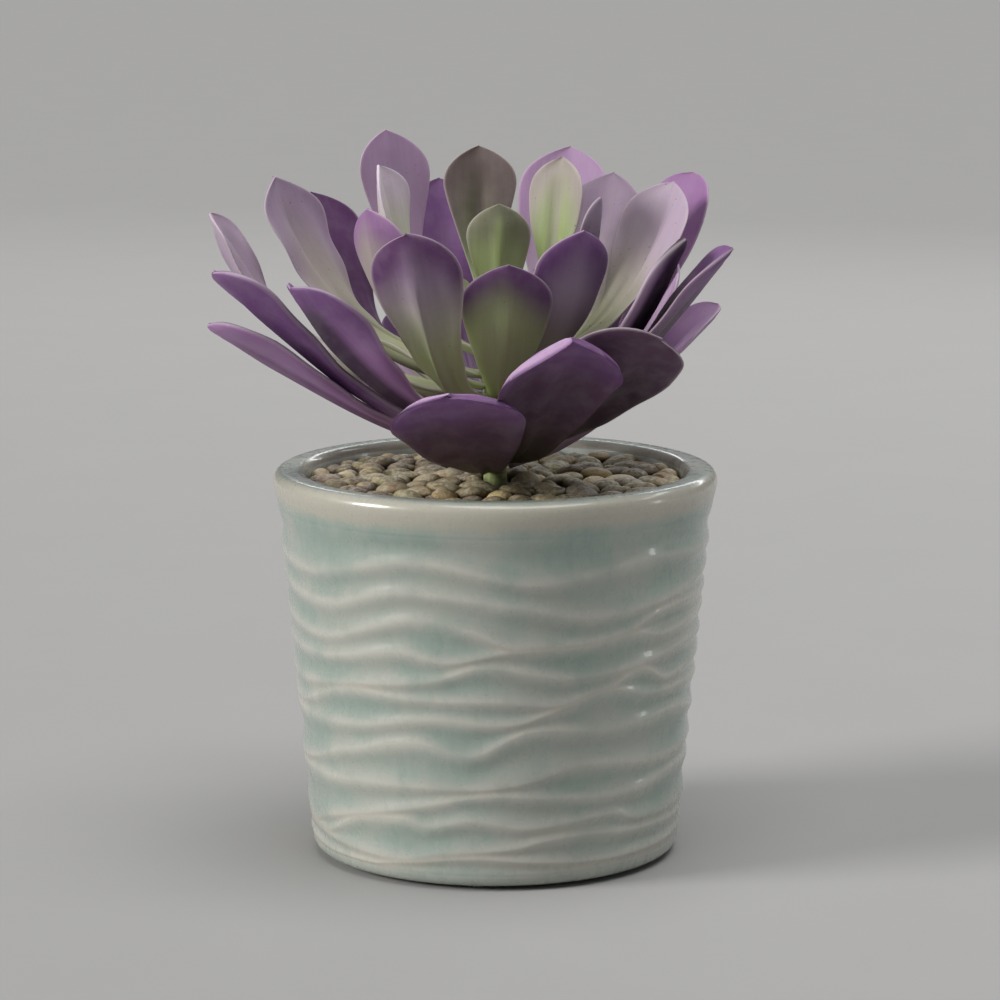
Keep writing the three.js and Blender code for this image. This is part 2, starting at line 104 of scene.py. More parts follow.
# Ridge crests of the pot wall, lowest first: (azimuth, height), closed round.
CRESTS = [
    [(-136, 4.6), (-119, 6.6), (-97, 9), (-80, 8), (-63, 7), (-41, 7), (0, 8), (60, 6), (130, 9), (180, 7)],
    [(-149, 9), (-119, 7.5), (-105, 10), (-83, 12), (-76, 13.5), (-63, 14.5), (-42, 13.2), (-10, 13),
     (50, 15), (110, 13), (165, 14)],
    [(-158, 9.5), (-134, 17), (-118, 18.5), (-110, 17), (-97, 19.4), (-81, 17.3), (-54, 19.2), (-42, 16.5),
     (-10, 17), (40, 21), (95, 18), (140, 22)],
    [(-166, 11.5), (-152, 14.5), (-118, 21.4), (-93, 26), (-73, 25.2), (-49, 24.2), (-21, 27.5), (30, 26),
     (80, 24), (130, 27), (170, 20)],
    [(-155, 26), (-122, 27.8), (-95, 28.2), (-83, 29.6), (-64, 33.7), (-33, 31.5), (5, 33.5), (60, 30),
     (105, 34), (150, 29)],
    [(-169, 28.5), (-138, 35), (-113, 39.8), (-97, 37), (-80, 43.6), (-56, 42.5), (-28, 44), (20, 39),
     (70, 43), (120, 38), (160, 33)],
    [(-162, 42), (-133, 42.8), (-108, 46.5), (-85, 45.8), (-69, 50.4), (-56, 53.4), (-43, 50.5), (-11, 50.5),
     (40, 48), (90, 51), (140, 46)],
    [(-164, 45), (-135, 52.2), (-116, 51.6), (-89, 52), (-75, 50.6), (-63, 51.5), (-46, 57.7), (-34, 53.6),
     (-14, 55.8), (30, 58), (75, 54), (125, 57), (165, 50)],
    [(-164, 51.6), (-130, 54.4), (-107, 57.2), (-93, 61.1), (-70, 57.7), (-52, 58.6), (-17, 62.4), (35, 60),
     (85, 64), (135, 60)],
    [(-147, 60), (-117, 64.2), (-103, 62.4), (-85, 65.6), (-66, 66), (-49, 67.8), (-36, 66), (-10, 69),
     (45, 66), (95, 70), (150, 64)],
    [(-146, 65.5), (-112, 73.2), (-96, 70.6), (-85, 66.5), (-58, 66.8), (-38, 72.8), (0, 74), (50, 77),
     (100, 73), (150, 74)],
    [(-141, 74.8), (-116, 80.2), (-85, 77.4), (-66, 73.8), (-38, 75.5), (-15, 79), (35, 83), (85, 79),
     (140, 82), (180, 78)],
    [(-149, 82.8), (-110, 88.6), (-80, 83.4), (-47, 87.2), (-10, 86), (45, 89), (100, 85), (150, 88)],
]

# Leaves, lowest first: azimuth, reach, height of the tip, height of the seat, width, rise of the
# stalk, rise of the blade at its tip and roll; then the colours of tip, blade and foot, and the
# shares of the leaf's length, from its tip, where the tip colour ends and the foot colour starts.
LEAVES = [
    # the spreading leaves at the foot of the rosette
    (-101.7, 58.5, 133.5, 106.4, 35, 3.5, 29, 7, "purple", "plum", "umber", 0.10, 0.75),
    (-47, 63.2, 145.9, 111.4, 31, -2, 19, -30, "plum", "damson", "umber", 0.15, 0.75),
    (-167, 78, 146, 109, 28, 18, 30, 10, "orchid", "orchid", "mauve", 0.30, 0.80),
    (148, 50, 131, 104.5, 24, 14, 36, 0, "mauve", "mauve", "sage", 0.30, 0.60),
    (17, 64, 147, 105.5, 26, 18, 40, 0, "heather", "orchid", "mauve", 0.30, 0.70),
    (88, 60, 150, 107, 24, 16, 50, 0, "purple", "mauve", "green", 0.35, 0.60),
    (58, 60, 149.5, 111.5, 26, 14, 50, 0, "purple", "mauve", "green", 0.35, 0.60),
    (117, 56, 143, 110, 23, 12, 44, 0, "purple", "mauve", "green", 0.35, 0.60),
    (-72, 63.7, 148, 109, 33.4, 3.4, 16, 3, "purple", "plum", "umber", 0.12, 0.70),
    (-161, 78, 161, 112, 26, 18, 40, 8, "purple", "purple", "mauve", 0.30, 0.80),
    (22, 54, 158, 108.5, 25, 20, 60, 0, "lilac", "mauve", "sage", 0.30, 0.60),
    # the middle leaves
    (-19, 66, 167, 114.5, 28, 18, 46, 12, "purple", "plum", "wine", 0.06, 0.50),
    (-146, 64, 158, 115, 29, 20, 50, 0, "purple", "orchid", "mauve", 0.20, 0.80),
    (105, 62, 178, 115.5, 26, 12, 65, 0, "purple", "purple", "mauve", 0.40, 0.70),
    (166, 80, 172, 124.5, 18, 4, 65, 0, "dusk", "pearl", "sage", 0.25, 0.60),
    (70, 62, 187, 118.5, 27, 10, 70, 0, "heather", "haze", "sage", 0.25, 0.60),
    (-19, 53, 169, 119, 29, 16, 62, 8, "wine", "ink", "ink", 0.10, 0.50),
    (38, 70, 181, 115, 26, 8, 70, 0, "orchid", "purple", "plum", 0.30, 0.60),
    (126, 52, 193, 121.5, 23, 12, 78, 0, "lilac", "lilac", "mauve", 0.25, 0.70),
    (152, 69, 181, 130, 29, 4, 72, 0, "haze", "beige", "sage", 0.18, 0.60),
    (53, 55, 181, 124, 28, 8, 72, 6, "mauve", "taupe", "sage", 0.25, 0.65),
    (136, 72, 175, 118.5, 25, 10, 66, 0, "violet", "violet", "sage", 0.10, 0.75),
    (-118, 49, 173, 123, 24, 4, 67, 18, "violet", "haze", "lime", 0.08, 0.42),
    # the upright leaves round the heart
    (29, 56, 180, 130, 26, 8, 70, 12, "dusk", "beige", "olive", 0.25, 0.5),
    (-84, 34, 164, 126, 24, 10, 78, 0, "violet", "lime", "lime", 0.12, 0.5),
    (97, 38, 189, 133, 20, 14, 82, 0, "clay", "fern", "green", 0.20, 0.55),
    (-47, 34, 172, 130, 26, 14, 80, -2, "purple", "dusk", "sage", 0.14, 0.55),
    (-152, 38, 177, 127.5, 21, 14, 78, 15, "orchid", "beige", "sage", 0.02, 0.5),
    (163, 33, 186, 136, 18, 16, 80, -6, "frost", "ivory", "sage", 0.06, 0.45),
    (52, 30, 187, 136, 19, 20, 82, 0, "beige", "pistachio", "green", 0.10, 0.60),
    (-16, 29, 179, 135, 18, 20, 80, 0, "mauve", "olive", "green", 0.30, 0.60),
    (-86, 15, 178, 139, 17, 35, 88, 0, "olive", "pistachio", "pistachio", 0.20, 0.60),
    # the heart
    (150, 12, 156, 141, 9, 40, 84, 0, "sage", "green", "pistachio", 0.30, 0.60),
    (30, 10, 153, 143, 8, 45, 84, 0, "sage", "green", "pistachio", 0.30, 0.60),
]

# Leaves, by number, that don't have the usual channel, strength of relief, fold, width of the stalk
# or thickness at the margin.
OWN_CHANNEL = {1: -0.1, 2: 0, 9: -0.42, 13: 0.38, 15: 0.34, 29: 0.42}
OWN_RELIEF = {1: 1.3, 2: 2, 9: 1.5, 13: 1.8, 15: 2.4, 16: 1.5, 20: 3, 22: 2, 23: 2.3, 24: 2.2, 25: 0.6,
              27: 0.8, 29: 1.8, 30: 1.5}
OWN_FOLD = {13: 1.1, 15: 1.3, 29: 1.2}
OWN_STALK = {23: 0.42, 25: 0.3, 27: 0.32}
OWN_EDGE = {1: 3.7, 2: 1.6, 3: 2, 9: 3.1, 10: 2.4, 12: 1.8, 13: 1.7, 17: 2.8}
BLUNT_TIPS = (1, 2, 3, 5, 10, 13, 18)
# Leaves whose upper face stands back from the margin: how far, and up to which place across, which also
# bounds the painted highlight on the upper border.
BEVELS = {1: (1.8, 1), 9: (1.5, 0.3)}
# Stripes along leaves, some the leaf's own colour and some painted highlights and painted shade: the colour,
# where it starts and ends across (-1 to 1), and its strength.
STRIPES_AND_PAINTED_LIGHT = {
    # painted highlight along the keel
    2: ("haze", 0, 0.05, 0.2),
    # painted shadow: a dark band along the leaf
    3: ("wine", 0, 0.25, 0.5),
    # painted highlight: the lit band along the margin
    12: ("orchid", -1.2, -0.84, 0.7),
    # painted shade: the shaded flank
    13: ("ink", -0.5, 0.24, 0.95),
    # painted highlight: the lit band along the margin
    17: ("lilac", -1.2, -0.84, 0.9),
    # painted highlight: the lit edge
    22: ("heather", 0.6, 1.1, 0.7),
    26: ("clay", -0.1, 0.1, 0.7),
    30: ("beige", -0.2, 0.2, 0.7),
    32: ("pistachio", -0.16, 0.16, 0.7),
}
STRIPE_BLUR = 0.12                # half the width of a stripe's soft edge

# Leaf colours, as they look on a screen, 0 to 255.
LEAF_COLOURS = {
    "purple": (122, 80, 134),
    "violet": (106, 66, 112),
    "orchid": (158, 114, 164),
    "heather": (172, 138, 176),
    "lilac": (190, 158, 194),
    "pearl": (204, 188, 202),
    "frost": (226, 210, 226),
    "ivory": (222, 222, 204),
    "haze": (164, 142, 166),
    "wine": (60, 36, 62),
    "dusk": (184, 164, 184),
    "ink": (38, 22, 38),
    "plum": (94, 66, 90),
    "damson": (66, 46, 61),
    "umber": (84, 76, 62),
    "mauve": (148, 128, 150),
    "beige": (178, 168, 160),
    "taupe": (150, 144, 132),
    "clay": (124, 110, 106),
    "fern": (106, 112, 76),
    "olive": (128, 130, 102),
    "sage": (162, 168, 130),
    "lime": (180, 196, 134),
    "green": (128, 146, 86),
    "pistachio": (168, 186, 122),
}


# ---- helpers --------------------------------------------------------------------------------------
def linear(colour):
    """A screen colour, 0 to 255, as the linear values that shaders take."""
    values = np.asarray(colour, float) / 255
    return np.where(values <= 0.04045, values / 12.92, ((values + 0.055) / 1.055) ** 2.4)


def smoothstep(value, low, high):
    share = np.clip((np.asarray(value, float) - low) / (high - low), 0, 1)
    return share * share * (3 - 2 * share)


def mix(start, end, share):
    return start + (end - start) * share


def polar(radius, azimuth, height):
    angle = np.radians(azimuth)
    radius, angle, height = np.broadcast_arrays(radius, angle, height)
    return np.stack([radius * np.cos(angle), radius * np.sin(angle), height], -1)


def seeded_draws(seed):
    """Repeatable draws in 0..1, the same as the solids use."""
    state = seed
    while True:
        state = (state * 16807) % 2147483647
        yield state / 2147483647


def grid_faces(rows, columns, closed=True):
    """Quads over a grid of points, row by row, closed round if asked."""
    faces = []
    for row in range(rows - 1):
        for column in range(columns if closed else columns - 1):
            following = (column + 1) % columns
            below, above = row * columns, (row + 1) * columns
            faces.append((below + column, below + following, above + following, above + column))
    return faces


def loft(rings, first, last):
    """Points and faces of a closed body through rings of points, with a point at both ends."""
    rows, columns, _ = rings.shape
    points = np.vstack([rings.reshape(-1, 3), [first], [last]])
    faces = grid_faces(rows, columns)
    start, end, top = rows * columns, rows * columns + 1, (rows - 1) * columns
    for column in range(columns):
        following = (column + 1) % columns
        faces.append((start, following, column))
        faces.append((top + column, top + following, end))
    return points, faces


def add_piece(name, points, faces, material, replaces, floats=None, colours=None):
    """A named mesh object from points in millimetres, with its own values at each point."""
    mesh = bpy.data.meshes.new(name)
    mesh.from_pydata((np.asarray(points) * MM).tolist(), [], faces)
    mesh.shade_smooth()
    for key, values in (floats or {}).items():
        layer = mesh.attributes.new(key, "FLOAT", "POINT")
        layer.data.foreach_set("value", np.asarray(values, np.float32))
    for key, values in (colours or {}).items():
        layer = mesh.attributes.new(key, "FLOAT_COLOR", "POINT")
        rgba = np.ones((len(mesh.vertices), 4), np.float32)
        rgba[:, :3] = values
        layer.data.foreach_set("color", rgba.ravel())
    mesh.materials.append(material)
    mesh.update()
    piece = bpy.data.objects.new(name, mesh)
    bpy.context.scene.collection.objects.link(piece)
    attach(piece, "root")
    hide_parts(*replaces)


# ---- materials ------------------------------------------------------------------------------------
BUMP_DEPTH = 0.0005               # metres


class Nodes:
    """Short hand for building a material's nodes."""

    def __init__(self, name):
        self.material = bpy.data.materials.new(name)
        self.material.use_nodes = True
        self.tree = self.material.node_tree
        self.shader = self.tree.nodes["Principled BSDF"]

    def add(self, kind, **settings):
        node = self.tree.nodes.new("ShaderNode" + kind)
        for key, value in settings.items():
            if key in node.inputs:
                node.inputs[key].default_value = value
            else:
                setattr(node, key, value)
        return node

    def link(self, source, target):
        self.tree.links.new(source, target)

    def feed(self, node, key, value):
        """Sets an input to a number or colour, or links it to an output."""
        if isinstance(value, bpy.types.NodeSocket):
            self.link(value, node.inputs[key])
        else:
            node.inputs[key].default_value = value

    def place(self, scale=(1, 1, 1)):
        """The point of the surface, in millimetres over a scale for each axis."""
        coordinates = self.add("TexCoord")
        mapping = self.add("Mapping")
        mapping.inputs["Scale"].default_value = [value / MM for value in scale]
        self.link(coordinates.outputs["Object"], mapping.inputs["Vector"])
        return mapping.outputs["Vector"]

    def value(self, key):
        return self.add("Attribute", attribute_name=key).outputs["Fac"]

    def colour(self, key):
        return self.add("Attribute", attribute_name=key).outputs["Color"]

    def noise(self, vector, scale, detail):
        node = self.add("TexNoise", Scale=scale, Detail=detail, Roughness=0.55)
        self.link(vector, node.inputs["Vector"])
        return node.outputs["Fac"]

    def dots(self, vector, scale):
        """Distance to the nearest of many scattered points."""
        node = self.add("TexVoronoi", Scale=scale)
        self.link(vector, node.inputs["Vector"])
        return node.outputs["Distance"]

    def span(self, value, low, high, start=0.0, end=1.0):
        """Maps low..high smoothly to start..end."""
        node = self.add("MapRange", interpolation_type="SMOOTHSTEP")
        self.link(value, node.inputs["Value"])
        for key, number in (("From Min", low), ("From Max", high), ("To Min", start), ("To Max", end)):
            node.inputs[key].default_value = number
        return node.outputs["Result"]

    def math(self, operation, *values):
        node = self.add("Math", operation=operation)
        for index, value in enumerate(values):
            self.feed(node, index, value)
        return node.outputs[0]

    def blend(self, share, first, second, mode="MIX"):
        """Mixes two colours; a tuple is a screen colour, 0 to 255."""
        node = self.add("Mix", data_type="RGBA", blend_type=mode)
        for index, value in ((0, share), (6, first), (7, second)):
            if isinstance(value, tuple):
                value = (*linear(value), 1)
            self.feed(node, index, value)
        return node.outputs[2]

    def bump(self, height, strength):
        node = self.add("Bump", Strength=strength, Distance=BUMP_DEPTH)
        self.link(height, node.inputs["Height"])
        self.link(node.outputs["Normal"], self.shader.inputs["Normal"])

    def finish(self, colour, roughness, **settings):
        self.link(colour, self.shader.inputs["Base Color"])
        self.link(roughness, self.shader.inputs["Roughness"])
        for key, value in settings.items():
            self.shader.inputs[key.replace("_", " ")].default_value = value
        return self.material


def leaf_material():
    """Waxy skin: the leaf's tint with its painted highlights and shade, mottled, faintly veined, with small
    dark specks and a pale margin that is partly painted rim light.
    """
    nodes = Nodes("leaf_skin")
    place = nodes.place()
    tint = nodes.colour("tint")
    margin = nodes.value("margin")
    along = nodes.value("along")
    across = nodes.value("across")
    strip = nodes.add("CombineXYZ")
    nodes.link(across, strip.inputs["X"])
    nodes.link(nodes.math("MULTIPLY", along, 0.05), strip.inputs["Y"])
    nodes.link(nodes.value("number"), strip.inputs["Z"])
    veins = nodes.noise(strip.outputs[0], 1.1, 2.0)
    cloud = nodes.noise(place, 0.16, 4.0)
    grain = nodes.noise(place, 1.6, 3.0)
    colour = nodes.blend(nodes.span(cloud, 0.35, 0.7, 0.0, 0.1), tint, (196, 188, 192))
    colour = nodes.blend(nodes.span(veins, 0.35, 0.75, 0.0, 0.06), colour, (110, 92, 104), "MULTIPLY")
    colour = nodes.blend(nodes.span(grain, 0.3, 0.75, 0.0, 0.1), colour, (236, 228, 232), "SOFT_LIGHT")
    speck = nodes.span(nodes.dots(place, 0.45), 0.04, 0.13, 1.0, 0.0)
    where = nodes.span(nodes.noise(place, 0.09, 2.0), 0.46, 0.62)
    colour = nodes.blend(nodes.math("MULTIPLY", nodes.math("MULTIPLY", speck, where), 0.75), colour,
                         (58, 40, 56))
    # Pale margin line: partly the leaf's own pale rim, partly painted rim light.
    colour = nodes.blend(nodes.math("MULTIPLY", margin, 0.5), colour, (220, 208, 212))
    roughness = nodes.span(grain, 0.3, 0.7, 0.5, 0.62)
    height = nodes.math("ADD", nodes.math("MULTIPLY", grain, 0.5), veins)
    nodes.bump(height, 0.1)
    return nodes.finish(colour, roughness, Subsurface_Weight=0.1, Subsurface_Radius=(0.9, 0.5, 0.35),
                        Subsurface_Scale=0.0025, Sheen_Weight=0.03, Specular_IOR_Level=0.32)


def stem_material():
    """Green skin with fine fibres along it, pale spots and brown leaf scars."""
    nodes = Nodes("stem_skin")
    place = nodes.place((1, 1, 0.3))
    fibres = nodes.noise(place, 1.4, 4.0)
    spots = nodes.noise(nodes.place(), 0.35, 3.0)
    colour = nodes.blend(nodes.span(fibres, 0.3, 0.7), (146, 164, 98), (184, 196, 136))
    colour = nodes.blend(nodes.span(spots, 0.5, 0.72, 0.0, 0.5), colour, (158, 150, 112))
    colour = nodes.blend(nodes.value("scar"), colour, (112, 98, 70))
    nodes.bump(fibres, 0.3)
    return nodes.finish(colour, nodes.span(fibres, 0.3, 0.7, 0.45, 0.62), Subsurface_Weight=0.1,
                        Subsurface_Radius=(0.6, 0.7, 0.3), Subsurface_Scale=0.002)


def glaze_material():
    """Celadon glaze: pooled grey-teal in the hollows, thin and pale over the ridges and the lip, with the
    rim top and inner wall painted paler as painted reflection.
    """
    nodes = Nodes("celadon_glaze")
    place = nodes.place()
    tall = nodes.place((1, 1, 0.16))
    ridge = nodes.value("ridge")
    lip_and_painted_light = nodes.value("lip_and_painted_light")
    streaks = nodes.noise(tall, 0.5, 4.0)
    cloud = nodes.noise(place, 0.05, 4.0)
    patches = nodes.noise(place, 0.075, 2.0)
    mottle = nodes.noise(place, 0.32, 4.0)
    colour = nodes.blend(nodes.span(streaks, 0.3, 0.72), (150, 168, 158), (160, 175, 165))
    colour = nodes.blend(nodes.span(cloud, 0.4, 0.62, 0.0, 0.8), colour, (177, 181, 171))
    thin = nodes.math("MULTIPLY", ridge, nodes.span(patches, 0.36, 0.58, 0.5, 1.0))
    thin = nodes.math("MULTIPLY", thin, nodes.span(mottle, 0.25, 0.6, 0.88, 1.0))
    colour = nodes.blend(nodes.math("MULTIPLY", thin, 0.95), colour, (200, 199, 189))
    merged = nodes.math("MULTIPLY", nodes.value("merged"), nodes.span(mottle, 0.3, 0.65, 0.5, 1.0))
    colour = nodes.blend(nodes.math("MULTIPLY", merged, 0.75), colour, (198, 189, 176))
    drift = nodes.noise(place, 0.11, 3.0)
    border = nodes.math("MULTIPLY_ADD", drift, 0.4, nodes.math("SUBTRACT", lip_and_painted_light, 0.2))
    # Cream of the lip, real on the outer lip; over the rim top and the mouth it is painted reflection.
    colour = nodes.blend(nodes.span(border, 0.15, 0.9, 0.0, 0.85), colour, (194, 188, 173))
    # Painted reflection: the inner wall and the inside of the mouth are painted pale.
    colour = nodes.blend(nodes.span(lip_and_painted_light, 1.0, 1.2), colour, (230, 240, 234))
    fleck = nodes.span(nodes.dots(place, 0.34), 0.03, 0.1, 1.0, 0.0)
    where = nodes.span(nodes.noise(place, 0.2, 2.0), 0.5, 0.62)
    colour = nodes.blend(nodes.math("MULTIPLY", nodes.math("MULTIPLY", fleck, where), 0.5), colour,
                         (104, 116, 108))
    roughness = nodes.span(mottle, 0.3, 0.7, 0.24, 0.34)
    height = nodes.math("ADD", nodes.math("MULTIPLY", mottle, 0.6), nodes.math("MULTIPLY", streaks, 0.4))
    nodes.bump(nodes.math("MULTIPLY", height, nodes.span(lip_and_painted_light, 0.05, 0.4, 1.0, 0.0)), 0.035)
    return nodes.finish(colour, roughness, Coat_Weight=0.5, Coat_Roughness=0.09, Specular_IOR_Level=0.5)


def pebble_material():
    """Worn stone in its own tint, with dust and painted top light on upward faces and painted shade where it
    faces down.
    """
    nodes = Nodes("river_pebble")
    place = nodes.place()
    tint = nodes.colour("tint")
    cloud = nodes.noise(place, 0.35, 4.0)
    grain = nodes.noise(place, 2.2, 3.0)
    colour = nodes.blend(nodes.span(cloud, 0.35, 0.65, 0.0, 0.6), tint, (122, 108, 88), "OVERLAY")
    colour = nodes.blend(nodes.span(grain, 0.35, 0.7, 0.0, 0.3), colour, (92, 80, 66), "MULTIPLY")
    normal = nodes.add("NewGeometry")
    facing = nodes.add("SeparateXYZ")
    nodes.link(normal.outputs["Normal"], facing.inputs[0])
    # Paler on upward faces: partly dust, partly painted top light.
    dust_and_top_light = nodes.math("MULTIPLY", nodes.span(facing.outputs["Z"], 0.4, 0.95),
                      nodes.span(nodes.noise(place, 0.8, 4.0), 0.35, 0.7))
    colour = nodes.blend(nodes.math("MULTIPLY", dust_and_top_light, 0.72), colour, (222, 214, 192))
    # Painted shade: the stone is darkened where its surface faces sideways and down.
    colour = nodes.blend(nodes.span(facing.outputs["Z"], -0.1, 0.65, 0.75, 0.0), colour, (58, 46, 34))
    roughness = nodes.span(cloud, 0.3, 0.7, 0.32, 0.55)
    nodes.bump(nodes.math("ADD", nodes.math("MULTIPLY", grain, 0.5), nodes.noise(place, 1.0, 5.0)), 0.75)
    return nodes.finish(colour, roughness, Specular_IOR_Level=0.45)


def soil_material():
    """Dark crumbs of potting mix."""
    nodes = Nodes("potting_mix")
    place = nodes.place()
    crumbs = nodes.dots(place, 0.7)
    fine = nodes.noise(place, 1.2, 5.0)
    colour = nodes.blend(nodes.span(fine, 0.3, 0.7), (38, 28, 20), (88, 66, 46))
    colour = nodes.blend(nodes.span(crumbs, 0.0, 0.6, 0.6, 0.0), colour, (52, 40, 30))
    nodes.bump(crumbs, 0.8)
    return nodes.finish(colour, nodes.span(fine, 0.3, 0.7, 0.85, 1.0))


def pad_material():
    """Clear, slightly hazy plastic."""
    nodes = Nodes("clear_pad")
    haze = nodes.noise(nodes.place(), 0.8, 3.0)
    colour = nodes.blend(nodes.span(haze, 0.3, 0.7), (206, 214, 212), (228, 232, 230))
    nodes.bump(haze, 0.05)
    return nodes.finish(colour, nodes.span(haze, 0.3, 0.7, 0.12, 0.3), Transmission_Weight=0.7, IOR=1.45)


def floor_material():
    """Dull and pale, with the faintest haze."""
    nodes = Nodes("pale_floor")
    haze = nodes.noise(nodes.place(), 0.02, 2.0)
    colour = nodes.blend(nodes.span(haze, 0.3, 0.7), (171, 170, 169), (172, 171, 170))
    return nodes.finish(colour, nodes.span(haze, 0.3, 0.7, 0.8, 0.81), Specular_IOR_Level=0.1)


# ---- the pot --------------------------------------------------------------------------------------
def crest_height(anchors, azimuth):
    """Height of one crest at an azimuth: smooth cubic stretches through its anchors, closed round."""
    count = len(anchors)

    def at(index):
        turn, place = divmod(index, count)
        return anchors[place][0] + 360 * turn, anchors[place][1]

    target = azimuth + 360 if azimuth < anchors[0][0] else azimuth
    left = 0
    while at(left + 1)[0] <= target:
        left += 1
    (a0, h0), (a1, h1) = at(left), at(left + 1)

    def slope(index):
        before, after = at(index - 1), at(index + 1)
        return (after[1] - before[1]) / (after[0] - before[0])

    span, rise = a1 - a0, h1 - h0
    t = (target - a0) / span
    start, end = slope(left) * span, slope(left + 1) * span
    return h0 + start * t + (3 * rise - 2 * start - end) * t * t + (start + end - 2 * rise) * t ** 3


def crest_heights(azimuth):
    """Heights of all crests at an azimuth, from the wall's foot to the neck, and never crossing."""
    heights = [WALL_FOOT]
    for anchors in CRESTS:
        heights.append(max(crest_height(anchors, azimuth), heights[-1] + CREST_GAP))
    return heights + [NECK_HEIGHT]


def wall_radius(height):
    return WALL_FOOT_RADIUS + WALL_FLARE * (height - WALL_FOOT)


def arc(centre, radius, start, end, steps):
    """Points [radius, height] on an arc between two angles in degrees."""
    angles = np.radians(np.linspace(start, end, steps))
    return [(centre[0] + radius * math.cos(a), centre[1] + radius * math.sin(a)) for a in angles]


COLUMNS = 400
BAND_ROWS = 13
RIDGE_REACH = 2.1                 # how far the thin glaze reaches from a ridge
MERGED_GAP = 3.8                  # ridges nearer than about this run into one


def lip_share(height):
    """How much a height of the outer wall belongs to the pale lip."""
    return float(smoothstep(height, 94.5, 101))


def pot_column(azimuth):
    """One upright line of the pot from under its base, up the wall, over the lip and down inside.

    Gives points [radius, height], how near each is to a ridge, how near two ridges run there, and
    how much it is on the pale lip, with extra values on the rim top and inside for painted reflection.
    """
    line, ridge, merged, lip_and_painted_light = [], [], [], []

    def put(points, near, lip_and_light_share):
        line.extend(points)
        ridge.extend([near] * len(points))
        merged.extend([0] * len(points))
        lip_and_painted_light.extend([lip_and_light_share] * len(points))

    base = PAD_HEIGHT + BASE_RECESS_DEPTH
    put([(BASE_RECESS_RADIUS * share, base) for share in (0.35, 0.7, 1)], 0.2, 0)
    put([(BASE_RECESS_RADIUS + 0.3, PAD_HEIGHT), (WALL_FOOT_RADIUS - BASE_FILLET - 3, PAD_HEIGHT)], 0.3, 0)
    put(arc((WALL_FOOT_RADIUS - BASE_FILLET, WALL_FOOT), BASE_FILLET, -90, -6, 8), 0.55, 0)

    crests = crest_heights(azimuth)
    for below, above in zip(crests, crests[1:]):
        gap = above - below
        first, last = below == WALL_FOOT, above == NECK_HEIGHT
        scoop = min(SCOOP_DEPTH, SCOOP_PER_GAP * gap) * float(smoothstep(gap, 0.9, 3.5))
        for step in range(BAND_ROWS):
            share = (1 - math.cos(math.pi * step / BAND_ROWS)) / 2
            height = mix(below, above, share)
            depth = (1 - math.cos(2 * math.pi * share)) / 2
            rise = CREST_RISE * (share if first else 1)
            line.append((wall_radius(height) + rise - scoop * depth, height))
            near = min(gap if first else height - below, gap if last else above - height)
            ridge.append(math.exp(-(near / RIDGE_REACH) ** 2))
            merged.append(math.exp(-(gap / MERGED_GAP) ** 2))
            lip_and_painted_light.append(lip_share(height))

    crown = POT_HEIGHT - LIP_ROUNDING
    neck = wall_radius(NECK_HEIGHT) + CREST_RISE
    for t in np.linspace(0, 1, 9)[:-1]:
        radius = mix(neck, LIP_RADIUS, float(smoothstep(t, -0.15, 0.95)))
        height = mix(NECK_HEIGHT, crown, t)
        put([(radius, height)], 0, lip_share(height))
    for index, point in enumerate(arc((LIP_RADIUS - LIP_ROUNDING, crown), LIP_ROUNDING, 0, 90, 10)):
        put([point], 0, max(0.4, 1 - (index / 9) ** 2))
    # The rim top, the mouth and the inner wall get lip values that paint them paler: painted reflection.
    put([(mix(LIP_RADIUS - LIP_ROUNDING, MOUTH_RADIUS + 1.6, t), POT_HEIGHT - 0.25 * t * t)
         for t in (0.35, 0.7, 1)], 0, 0.4)
    put([(MOUTH_RADIUS + 0.9, POT_HEIGHT - 0.75), (MOUTH_RADIUS + 0.35, POT_HEIGHT - 1.5)], 0, 0.8)
    put([(MOUTH_RADIUS + 0.05, POT_HEIGHT - 2.6), (MOUTH_RADIUS - 0.1, POT_HEIGHT - 4.2)], 0, 1.2)
    put([(mix(INNER_TOP[0], INNER_FOOT[0], t), mix(INNER_TOP[1] + 2, INNER_FOOT[1], t))
         for t in np.linspace(0, 1, 10)], 0.1, 1.2)
    put([(FLOOR_RADIUS, FLOOR_HEIGHT), (FLOOR_RADIUS * 0.5, FLOOR_HEIGHT)], 0.1, 0)
    return line, ridge, merged, lip_and_painted_light


def build_pot():
    """The pot as one loft of its upright lines."""
    azimuths = np.arange(COLUMNS) * 360 / COLUMNS - 180
    columns = [pot_column(azimuth) for azimuth in azimuths]
    profile = np.array([column[0] for column in columns])
    rings = polar(profile[:, :, 0], azimuths[:, None], profile[:, :, 1]).transpose(1, 0, 2)
    points, faces = loft(rings, (0, 0, PAD_HEIGHT + BASE_RECESS_DEPTH), (0, 0, FLOOR_HEIGHT))
    floats = {}
    for place, key in enumerate(("ridge", "merged", "lip_and_painted_light"), 1):
        values = np.array([column[place] for column in columns]).T.ravel()
        floats[key] = np.append(values, [0, 0])
    add_piece("glazed_pot", points, faces, glaze_material(), ["pot"], floats)


